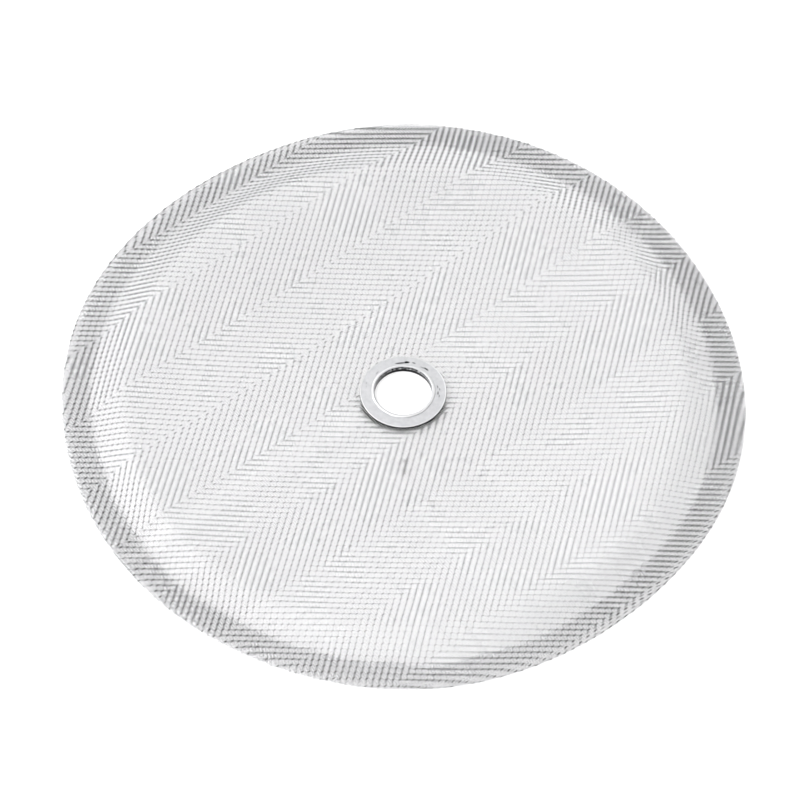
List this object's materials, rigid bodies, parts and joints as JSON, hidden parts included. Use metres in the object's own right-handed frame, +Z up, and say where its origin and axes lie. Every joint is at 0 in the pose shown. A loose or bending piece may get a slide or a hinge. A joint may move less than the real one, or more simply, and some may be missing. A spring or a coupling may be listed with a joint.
{
  "type": "wire mesh filter disc",
  "caption": "Round wire cloth filter screen in herringbone twill with a pressed rim, a double hem and a clenched metal eyelet at its centre, for the plunger of a coffee press.",
  "frame": {"origin": "centre of the screen on the surface that its hem and its eyelet flange lie on", "axes": "+Z up along the axis of the eyelet bore, through the washer; X and Y in the plane of the screen, with the herringbone stripes running 38 degrees from +X"},
  "size_m": [0.1, 0.1, 0.0022],
  "materials": {
    "wire_cloth": "drawn stainless wire, woven",
    "eyelet_steel": "satin drawn steel",
    "washer_steel": "satin stamped steel with light scuffs"
  },
  "bodies": {
    "root": {"mesh_disc": "wire_cloth", "eyelet": "eyelet_steel", "eyelet_washer": "washer_steel"}
  },
  "joints": []
}
